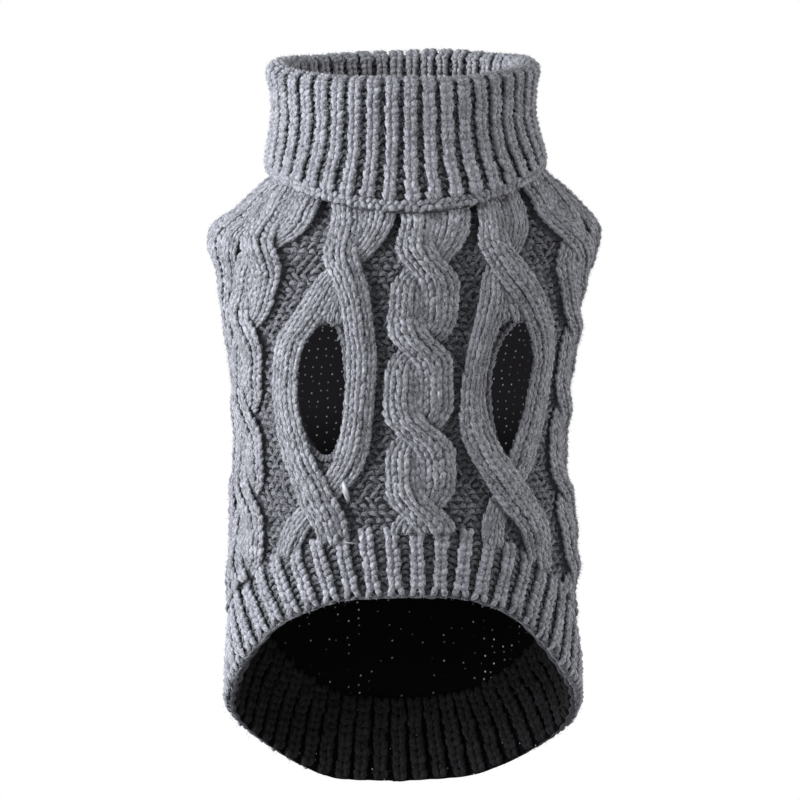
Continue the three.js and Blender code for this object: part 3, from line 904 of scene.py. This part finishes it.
def panel_shape(strands, start, end, holes):
    """Shape of a panel between two seams, from the band's top up to the neck."""

    def shape(across, up):
        down = 1 - up
        left = np.radians(start[0] + (start[1] - start[0]) * down**2)
        right = np.radians(end[0] + (end[1] - end[0]) * down**2)
        angle = left + (right - left) * across
        level = hem_levels(angle)[1] * down
        arc = arc_of(angle, level)
        inside = np.zeros(len(arc), bool)
        for hole in holes:
            sideways, upwards = hole_share(hole, arc, level)
            reach = np.hypot(sideways, upwards)
            within = reach < 1
            pull = 1 / np.maximum(reach, 0.05)
            new_arc, new_level = hole_point(hole, sideways * pull, upwards * pull)
            arc = np.where(within, new_arc, arc)
            level = np.where(within, new_level, level)
            inside |= within
        angle = angle_of(arc, level)
        ridge, _ = lift(strands, arc, level)
        ground = 1 - np.clip(ridge / 1.6, 0, 1)
        out = BASE + ridge - SHEET_DEPTH - ground * (0.2 + trough(angle, level))
        behind = place(angle, level, np.minimum(BASE - INNER_DEPTH, out - 1.2))
        return place(angle, level, out), behind, np.stack([arc, level], -1), inside

    return shape


belly_sheet = sheet_grid("belly_sheet", 104, 92, panel_shape(
    belly_strands + beside_belly, (-90, -97.5), (90, 97.5), HOLES), (shaded_gap_wool, painted_shade_inside), cut=True)
back_sheet = sheet_grid("back_sheet", 96, 72, panel_shape(
    back_strands, (90, 97.5), (270, 262.5), ()), (shaded_gap_wool, painted_shade_inside))

# %% [markdown]
# ## Stitches on the panels
# Rows of knit stitches follow each strand, three wales wide, leaning with it as it crosses the other.
# Between the strands the cloth is purl, whose beans sit half a wale to the side in every other row.

# %% Panel stitches
ROW = 3.2
WALES = np.array([-0.68, 0, 0.68])[:, None]
PURL_ROW, PURL_WALE = 2.9, 4.1
PURL_COVER = 0.84


def buried(strand, others, arc, level, own):
    """Whether stitches of one strand lie right under another strand, out of sight."""
    hidden = np.zeros(arc.shape, bool)
    for other in others:
        if other is not strand:
            above, cover = lift([other], arc, level)
            hidden |= (above > own + 2.4) & (cover < 0.72)
    return hidden


def strand_frames(strand, others):
    middle = place(angle_of(strand.arcs, strand.levels), strand.levels, BASE + strand.heights)
    run = np.concatenate([[0], np.cumsum(np.linalg.norm(np.diff(middle, axis=0), axis=1))])
    at = np.linspace(run[-1], 0, int(run[-1] / ROW))
    level, arc, width, height = (
        np.interp(at, run, row) for row in (strand.levels, strand.arcs, strand.widths, strand.heights))
    level = level + 0 * WALES
    arc = arc + WALES * width / 2
    angle = angle_of(arc, level)
    rounded = height * np.sqrt(1 - (1.05 * WALES) ** 2)
    frames = grid_frames(place(angle, level, BASE + rounded))
    seen = (level > hem_levels(angle)[1] - 1.8) & ~buried(strand, others, arc, level, rounded)
    return kept(frames, seen)


def purl_frames(strands, left, right):
    """Purl stitches wherever no strand and no leg hole is, between two seams given by level."""
    parts = []
    for number, level in enumerate(np.arange(-5, -250, -PURL_ROW)):
        sides = arc_of(np.array([left(level), right(level)]), np.full(2, level))
        steps = int((sides[1] - sides[0]) / PURL_WALE)
        offsets = (np.arange(steps) + 0.25 + 0.5 * (number % 2)) / steps
        arc = sides[0] + (sides[1] - sides[0]) * offsets
        here = np.full(steps, level)
        angle = angle_of(arc, here)
        ridge, cover = lift(strands, arc, here)
        free = (cover > PURL_COVER) & (in_hole(arc, here) > 1.06) & (level > hem_levels(angle)[1] + 1)
        out = BASE + 0.35 * ridge - trough(angle, here)
        origin = place(angle, here, out)
        side = place(angle + 0.01, here, out) - origin
        normal = torso_normal(angle, here)
        up = unit(np.cross(normal, side)) * PURL_ROW
        parts.append(kept(Frames(origin, unit(side) * PURL_WALE, up, normal), free))
    return joined_frames(parts)


def cables(strands):
    return joined_frames([strand_frames(strand, strands) for strand in strands])


def left_seam(level):
    return seam_angle(-1, level)


def right_seam(level):
    return seam_angle(1, level)


belly_frames = cables(belly_strands)
belly_ground = purl_frames(belly_strands + beside_belly, left_seam, right_seam)
right_frames, left_frames = cables(back_strands[:6]), cables(back_strands[6:])
back_ground = purl_frames(back_strands, right_seam, lambda level: math.tau + left_seam(level))
belly_cables = lay("belly_cables", cable_knit, belly_frames, cable_wool)
belly_purl = lay("belly_purl", purl_bump, belly_ground, shaded_ground_wool, 1.4, 0.45)
back_cables = lay("back_cables", plain_knit, right_frames, cable_wool)
back_cables_left = lay("back_cables_left", plain_knit, left_frames, cable_wool)
back_purl = lay("back_purl", purl_bump, back_ground, shaded_ground_wool, 1.4, 0.45)

# %% [markdown]
# ## Edges of the leg holes
# The cloth rolls in a little at each leg hole, so one column of stitches runs round the outline and faces
# half outwards and half into the hole.

# %% Hole edges
def hole_edge(hole, count):
    turn = np.linspace(0, math.tau, count + 1)
    arc, level = hole_point(hole, 1.07 * np.sin(turn), 1.03 * np.cos(turn))
    inner_arc, inner_level = hole_point(hole, 0.6 * np.sin(turn), 0.6 * np.cos(turn))
    ridge, _ = lift(belly_strands, arc, level)
    points = place(angle_of(arc, level), level, BASE - 0.3 + 0.3 * ridge)
    into = unit(place(angle_of(inner_arc, inner_level), inner_level, -2) - points)
    outwards = torso_normal(angle_of(arc, level), level)
    normals = unit(outwards + 0.9 * into)
    frames = column_frames(points[None], normals[None], 3.0)
    return Frames(*(part[:, :-1] for part in frames))


# The rim is laid in the darker ground wool, as painted shade.
hole_edges = lay("hole_edges", chain_knit, joined_frames(
    [hole_edge(LEFT_HOLE, 48), hole_edge(RIGHT_HOLE, 50)]), shaded_ground_wool)

# %% [markdown]
# ## The collar
# The collar is one ribbed tube, sewn on at the neck, that rises inside and folds down over itself. Its shape
# has three parts: the outside that hangs down, the fold, and the inside that goes down to the seam.
# The same number of ribs runs along all three, so every rib can be followed over the fold.

# %% Collar shape
TURN_DOWN = np.array([
    (0, 59.8, 58, 52), (0.2, 58.6, 54.5, 50.5), (0.38, 56.8, 49.5, 48.5), (0.62, 55.2, 46.8, 46.8),
    (0.82, 55.6, 46.6, 46.6), (1, 55.8, 46.8, 46.8),
], float)
NECK = np.array((47.3, 38.3, 38.3))
OUTSIDE, FOLD_END, COLLAR_END = 47.0, 59.5, 99.0
COLLAR_RIBS = 42
FOLD_RADIUS = 4
# How far one rib lies from the next along the cloth.
COLLAR_RIB, HEM_RIB = 7.8, 10.3


def collar_point(angle, run):
    """A point of the collar; run goes up the outside, over the fold and down the inside."""
    angle = np.asarray(angle, float)
    run = run + 0 * angle
    fold_level = 37 + 0.3 * np.sin(angle)
    loose_end = -3 - 11.3 * np.maximum(np.cos(angle), 0) ** 2 + 1.5 * np.sin(angle)
    part = np.clip(run / OUTSIDE, 0, 1)
    _, half_width, front, back = np.moveaxis(smooth_table(TURN_DOWN, part), -1, 0)
    outside = oval_point(half_width, front, back, angle, loose_end + (fold_level - loose_end) * part)
    rim = TURN_DOWN[-1, 1:]
    centre = oval_point(*(rim - FOLD_RADIUS), angle, fold_level)
    outwards = unit(oval_point(*rim, angle, fold_level) - centre)
    turn = np.clip((run - OUTSIDE) / (FOLD_END - OUTSIDE), 0, 1)[..., None] * math.pi
    fold = centre + FOLD_RADIUS * (np.cos(turn) * outwards + np.sin(turn) * np.array((0, 0, 1.0)))
    down = np.clip((run - FOLD_END) / (COLLAR_END - FOLD_END), 0, 1)
    size = (rim - 2 * FOLD_RADIUS)[:, None] * (1 - down.ravel()) + NECK[:, None] * down.ravel()
    inside = oval_point(*(axis.reshape(down.shape) for axis in size), angle, fold_level * (1 - down))
    points = np.where((run <= OUTSIDE)[..., None], outside, fold)
    return np.where((run >= FOLD_END)[..., None], inside, points)


def collar_place(angle, run, out):
    """A point off the worn collar, which is drawn in at its sides and pulled at its rim, with its normal."""
    around = collar_point(angle + 2e-3, run) - collar_point(angle - 2e-3, run)
    along = collar_point(angle, run + 0.6) - collar_point(angle, run - 0.6)
    normal = unit(np.cross(around, along))
    uneven = 0.5 * np.sin(4 * angle + run / 19) + 0.35 * np.sin(7 * angle - run / 11 + 1)
    low = np.clip(1 - run / 26, 0, 1)
    high = np.sin(np.clip((run - 40) / 28, 0, 1) * math.pi)
    hanging = np.clip((OUTSIDE - run) / 8, 0, 1)
    side = np.sin(angle)
    drawn = hanging * side**2 * np.where(side < 0, 1.7 + 1.6 * low, 1.6 - 1.2 * low)
    drawn = drawn + high * np.where(np.cos(angle) > 0, 2.6 * np.cos(angle), -0.9 * np.cos(angle))
    push = np.asarray(out + uneven * 0.6 - drawn + 0 * angle)
    return collar_point(angle, run) + normal * push[..., None], normal


even = np.linspace(-math.pi, math.pi, 1441)
mid_round = np.linalg.norm(np.diff(collar_point(even, np.full(len(even), 25.0)), axis=0), axis=1)
mid_round = np.concatenate([[0], np.cumsum(mid_round)])
COLLAR_ROUND = mid_round[-1]


def collar_angle(ribs):
    """The angle of a rib, counted round the collar from the middle of the back."""
    return np.interp(ribs / COLLAR_RIBS * COLLAR_ROUND, mid_round, even)


def collar_shape(across, up):
    ribs = across * COLLAR_RIBS
    run = up * COLLAR_END
    wave = np.cos(math.tau * (ribs - 0.5))
    strength = np.clip(run / 6, 0.2, 1)
    folding = np.clip(1 - np.abs(run - 53) / 12, 0, 1)
    strength = strength * (1 - 0.6 * folding)
    points, normal = collar_place(collar_angle(ribs), run, -1.75 + 0.5 * folding + 0.6 * wave * strength)
    return points, None, np.stack([ribs * COLLAR_RIB, run], -1), None


collar_sheet = sheet_grid("collar_sheet", 168, 46, collar_shape, (shaded_gap_wool, shaded_neck_gap), thickness=1.3)
print("Collar round:", round(float(COLLAR_ROUND)), "mm")

# %% [markdown]
# ## Stitches on the collar
# Every rib is one column of knit stitches, and a column of purl lies deep in the groove between two ribs.
# The rows are closer over the fold, where they follow a tight curve, and the ones inside are flatter.
# The rib ends stand a little proud at the lower edge, and the cast-on edge lies below them.

# %% Collar stitches
KNIT_OUT, GROOVE_OUT = 0.35, -1.35
COLLAR_ROW = 2.7
rib_numbers = np.arange(COLLAR_RIBS) + 0.5


def collar_columns(ribs, run, out, width):
    angle = collar_angle(ribs)[:, None] + 0 * run
    points, normals = collar_place(angle, run + 0 * angle, out)
    return column_frames(points, normals, width)


outer_rows = np.concatenate([np.arange(6.1, 45.5, COLLAR_ROW), np.arange(45.9, 59, 1.9)])
inner_rows = np.concatenate([[58.6, 60.4], np.arange(62.6, 97, 2.9)])
outer_ribs = collar_columns(rib_numbers, outer_rows, KNIT_OUT, 6.5)
inner_ribs = collar_columns(rib_numbers, inner_rows, KNIT_OUT - 0.2, 5.5)
collar_ribs = lay("collar_ribs", rib_knit, outer_ribs, rib_wool)
collar_lining = lay("collar_lining", lining_knit, inner_ribs, neck_wool)
grooves = joined_frames([
    collar_columns(rib_numbers + 0.5, np.arange(3, 58, 2.8), GROOVE_OUT, 3.0),
    collar_columns(rib_numbers + 0.5, np.arange(60, 92, 3.0), GROOVE_OUT, 2.6),
])
collar_grooves = lay("collar_grooves", purl_bump, grooves, shaded_ground_wool, 1.8, 0.2)
rib_ends = collar_columns(rib_numbers, np.array([4.1, 7.4]), KNIT_OUT, 6.8)
rib_ends = kept(rib_ends, (slice(None), slice(0, 1)))

# The cast-on edge is a soft, lumpy rim below the rib ends, three loops high.
rim_parts = []
for run, out, loops in ((3.2, -0.7, 130), (1.3, -0.5, 127), (-0.6, -1.1, 124)):
    loop_angle = collar_angle((np.arange(loops) + 0.5 * (run > 0)) / loops * COLLAR_RIBS)
    rim_points, rim_normals = collar_place(loop_angle, np.full(loops, run), out)
    sideways = unit(np.cross(np.array((0, 0, 1.0)), rim_normals)) * 3.1
    upwards = unit(np.cross(rim_normals, sideways)) * 2.3
    rim_parts.append(Frames(rim_points, sideways, upwards, rim_normals))
collar_edge = lay("collar_edge", rim_loop, joined_frames(rim_parts), rib_wool, 1.6, 0.25)
collar_beads = lay("collar_beads", bead_knit, rib_ends, rib_wool, 1.6)

# %% [markdown]
# ## The bands along the hem
# Each panel ends in a rib band. The hem is cut high on the belly and slants down to the back, and the ribs
# lean with it. One band goes from side to side below the belly, the other below the back.

# %% Hem bands
Band = namedtuple("Band", "name middle lean ribs")
BELLY_BAND = Band("belly", 0.0, RIB_LEAN, 24)
BACK_BAND = Band("back", math.pi, -RIB_LEAN, 28)
BAND_DEPTH, BAND_BOTTOM = 30, 220


def band_place(band, across, down, out):
    """A point of a hem band: across from -1 to 1, down from 0 at its top to 1 at the hem."""
    top_angle = band.middle + across * (QUARTER + band.lean)
    hem_angle = band.middle + across * (QUARTER - band.lean)
    angle = top_angle + (hem_angle - top_angle) * down
    top, bottom = hem_levels(top_angle)[1], hem_levels(hem_angle)[0]
    level = top + (bottom - top) * down
    return place(angle, level, out), torso_normal(angle, level)


def band_across(band, ribs):
    """The share across a band at which a rib stands, by distance along the band's middle."""
    share = np.linspace(-1, 1, 401)
    line, _ = band_place(band, share, np.full(401, 0.5), 0)
    run = np.concatenate([[0], np.cumsum(np.linalg.norm(np.diff(line, axis=0), axis=1))])
    return np.interp(np.asarray(ribs) / band.ribs * run[-1], run, share)


def band_shape(band):
    def shape(across, up):
        ribs = across * band.ribs
        wave = np.cos(math.tau * (ribs - 0.5))
        points, _ = band_place(band, band_across(band, ribs), 1 - up, -1.7 + 0.5 * wave)
        return points, None, np.stack([ribs * HEM_RIB, up * BAND_DEPTH - BAND_BOTTOM], -1), None

    return shape


def band_columns(band, ribs, rows, out, width, first=0.95, last=0.02):
    """Columns of stitches up a band; they sink in at its top, where the panel's cloth begins."""
    across = band_across(band, ribs)[:, None]
    down = np.linspace(first, last, rows)[None, :]
    out = out - 1.5 * np.clip(1 - down / 0.16, 0, 1)
    points, normals = band_place(band, across + 0 * down, down + 0 * across, out)
    return column_frames(points, normals, width)


def band_pieces(band):
    """A band's sheet and stitches; the back band also has a purl column at each of its ends."""
    sheet = sheet_grid(
        f"{band.name}_hem_sheet", band.ribs * 6, 14, band_shape(band), (shaded_gap_wool, painted_shade_inside))
    numbers = np.arange(band.ribs) + 0.5
    between = np.arange(0 if band is BACK_BAND else 1, band.ribs + (band is BACK_BAND)) + 0.0
    ribs = band_columns(band, numbers, 10, 0.3, 6.7)
    knit = lay(f"{band.name}_hem_ribs", hem_knit, kept(ribs, (slice(None), slice(1, None))), rib_wool)
    flare = lay(f"{band.name}_hem_flare", flared_knit, kept(ribs, (slice(None), slice(0, 1))), rib_wool)
    gaps = band_columns(band, between, 10, -1.3, 4.6)
    purl = lay(f"{band.name}_hem_purl", purl_bump, gaps, shaded_ground_wool, 1.8, 0.22)
    line = np.linspace(0, band.ribs, band.ribs * 3 + 1)
    low = 0.985 if band is BELLY_BAND else 0.935
    points, normals = band_place(band, band_across(band, line), np.full(len(line), low), -0.9)
    edge = column_frames(points[None], normals[None], 1.7)
    edge = lay(f"{band.name}_hem_edge", chain_knit, edge, shaded_ground_wool, 2.4, 0.2)
    return sheet, [knit, flare, purl, edge], joined_frames([ribs, gaps])


belly_hem_sheet, belly_hem_parts, belly_hem_ribs = band_pieces(BELLY_BAND)
back_hem_sheet, back_hem_parts, back_hem_ribs = band_pieces(BACK_BAND)

# The inside of the back's band shows through the arch of the hem, so it gets its own ribs.
inner = band_columns(BACK_BAND, np.arange(1, BACK_BAND.ribs) + 0.0, 11, -4.3, 7.2, last=-0.25)
inner = Frames(inner.origin, -inner.side, inner.up, -inner.normal)
# Their near-black wool is painted shade.
back_hem_inside = lay("back_hem_inside", hem_knit, inner, shaded_inside_wool)
back_hem_parts.append(back_hem_inside)

# %% [markdown]
# ## Fuzz
# Wool is hairy: short fibres stand out of every stitch, blur its edge and give the sweater its soft outline.
# Each long fibre is a thin bent blade that starts on a stitch and points anywhere outwards. The short ones
# are single thin triangles that lie low across the stitches and soften the gaps between them.

# %% Fuzz
def roots(frames, count, lowest, highest):
    """Random places in the stitches where fibres start, and the way out of the cloth there."""
    pick = chance.integers(0, len(frames.origin), count)
    spot = chance.uniform(-0.5, 0.5, (count, 2))
    start = frames.origin[pick] + frames.side[pick] * spot[:, 0:1] + frames.up[pick] * spot[:, 1:2]
    normal = frames.normal[pick]
    return start + normal * chance.uniform(lowest, highest, (count, 1)), normal


def fuzz(name, frames, count, longest):
    """Long bent fibres pointing outwards."""
    start, normal = roots(frames, count, 0.2, 0.8)
    way = unit(normal * 0.55 + unit(chance.normal(0, 1, (count, 3))))
    length = 0.7 + (longest - 0.7) * chance.uniform(0, 1, (count, 1)) ** 2.5
    thin = unit(np.cross(way, chance.normal(0, 1, (count, 3)))) * chance.uniform(0.06, 0.1, (count, 1))
    bend = unit(np.cross(thin, way)) * length * chance.uniform(0.3, 1.6, (count, 1))
    return lay(name, fibre, Frames(start, thin, way * length, bend), fuzz_highlight_wool, 0.0)


def down(name, frames, count):
    """Short fibres lying low."""
    start, normal = roots(frames, count, 0.1, 0.9)
    way = unit(normal * 0.25 + unit(chance.normal(0, 1, (count, 3))))
    thin = unit(np.cross(way, normal)) * chance.uniform(0.10, 0.2, (count, 1))
    length = chance.uniform(0.8, 2.0, (count, 1))
    return lay(name, hair, Frames(start, thin, way * length, normal), fuzz_highlight_wool, 0.0)


belly_fuzz = fuzz("belly_fuzz", joined_frames([belly_frames, belly_frames, belly_ground]), 11000, 2.6)
back_fuzz = fuzz("back_fuzz", joined_frames([right_frames, left_frames]), 6000, 2.6)
collar_fuzz = fuzz("collar_fuzz", joined_frames([outer_ribs, rib_ends, rib_ends]), 6000, 2.2)
belly_down = down("belly_down", joined_frames([belly_frames] * 3 + [belly_ground]), 84000)
back_down = down("back_down", joined_frames([right_frames, left_frames, back_ground]), 34000)
collar_down = down("collar_down", joined_frames(
    [outer_ribs, outer_ribs, inner_ribs, rib_ends, *rim_parts]), 52000)
belly_hem_down = down("belly_hem_down", belly_hem_ribs, 8000)
back_hem_down = down("back_hem_down", back_hem_ribs, 8000)
belly_hem_parts.append(belly_hem_down)
back_hem_parts.append(back_hem_down)

# %% [markdown]
# ## A slub and two loose fibres
# The yarn of the picture is not perfect either: a pale thick lump sits on the left cable, and a fibre and a
# short hair lie across the cloth below it and near the left shoulder.

# %% Slub and loose fibres
def lying(rows, half_width, raised):
    """A frame for a lump of wool between two points of the cloth, given as angle and level."""
    (a0, z0), (a1, z1) = rows
    ends = []
    for angle, level in ((np.radians([a0]), np.array([z0])), (np.radians([a1]), np.array([z1]))):
        height, _ = lift(belly_strands, arc_of(angle, level), level)
        ends.append(place(angle, level, BASE + height + raised)[0])
    normal = torso_normal(np.array([math.radians((a0 + a1) / 2)]), np.array([(z0 + z1) / 2]))[0]
    along = ends[1] - ends[0]
    return (ends[0] + along / 2, unit(np.cross(along, normal)) * half_width, along, normal)


lump = yarn_arc((-0.06, -0.5), (0.06, 0.5), (1.0, 1.0, 0.3), 0.3, 0.5)
loose = [
    lying(((-32.8, -126.3), (-31.1, -136.0)), 1.3, 0.4),
    lying(((-32.5, -152.1), (-27.2, -153.2)), 0.28, 1.4),
    lying(((-87.0, -32.9), (-76.0, -32.2)), 0.24, 1.2),
]
loose = Frames(*(np.array([one[i] for one in loose]) for i in range(4)))
loose_wool = lay("loose_wool", lump, loose, slub_wool, 0.0)

# %% [markdown]
# ## Declaring the pieces
# Every piece rides the one body. Each panel's sheet replaces its solid, and its stitches go with it.

# %% Pieces and sheets
def declare(sheet, pieces, node):
    for piece in (sheet, *pieces):
        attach(piece, "root")
    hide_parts(node)


belly_parts = [belly_cables, belly_purl, hole_edges, belly_fuzz, belly_down, loose_wool]
back_parts = [back_cables, back_cables_left, back_purl, back_fuzz, back_down]
collar_parts = [
    collar_ribs, collar_lining, collar_grooves, collar_edge, collar_beads, collar_fuzz, collar_down]
declare(belly_sheet, belly_parts, "belly_panel")
declare(back_sheet, back_parts, "back_panel")
declare(collar_sheet, collar_parts, "collar")
declare(belly_hem_sheet, belly_hem_parts, "belly_hem_rib")
declare(back_hem_sheet, back_hem_parts, "back_hem_rib")
print("Sheets declared: 5")

# %% [markdown]
# ## Light and background
# The picture is a product photo on pure white. A large soft light from the left makes that side bright,
# a weak one from the right keeps the other side from going black, and the white world fills the rest.
# What the camera sees behind the sweater is plain white, while the light that the world gives is weaker.

# %% Lights and world
WORLD_LIGHT = 0.49


def soft_light(name, direction, distance, size, power, colour):
    spot = Vector(direction).normalized() * distance + AIM
    bpy.ops.object.light_add(type="AREA", location=spot)
    light = bpy.context.object
    light.name = name
    light.rotation_mode = "QUATERNION"
    light.rotation_quaternion = (AIM - spot).to_track_quat("-Z", "Y")
    light.data.size = size
    light.data.energy = power
    light.data.color = colour


soft_light("left_light", (-0.94, -0.23, 0.30), 1.3, 0.9, 52, (0.97, 0.98, 1.0))
soft_light("right_light", (0.92, -0.24, 0.2), 1.4, 0.7, 16.0, (1.0, 0.98, 0.95))

world = bpy.data.worlds.new("white")
bpy.context.scene.world = world
world.use_nodes = True
sky = world.node_tree
seen = sky.nodes["Background"]
seen.inputs["Color"].default_value = (1, 1, 1, 1)
seen.inputs["Strength"].default_value = 1.0
given = sky.nodes.new("ShaderNodeBackground")
given.inputs["Color"].default_value = (0.98, 0.99, 1, 1)
given.inputs["Strength"].default_value = WORLD_LIGHT
chooser = sky.nodes.new("ShaderNodeMixShader")
path = sky.nodes.new("ShaderNodeLightPath")
sky.links.new(path.outputs["Is Camera Ray"], chooser.inputs["Fac"])
sky.links.new(given.outputs[0], chooser.inputs[1])
sky.links.new(seen.outputs[0], chooser.inputs[2])
sky.links.new(chooser.outputs[0], sky.nodes["World Output"].inputs["Surface"])
bpy.context.scene.view_settings.view_transform = "Standard"
print("Lights:", [thing.name for thing in bpy.data.objects if thing.type == "LIGHT"])
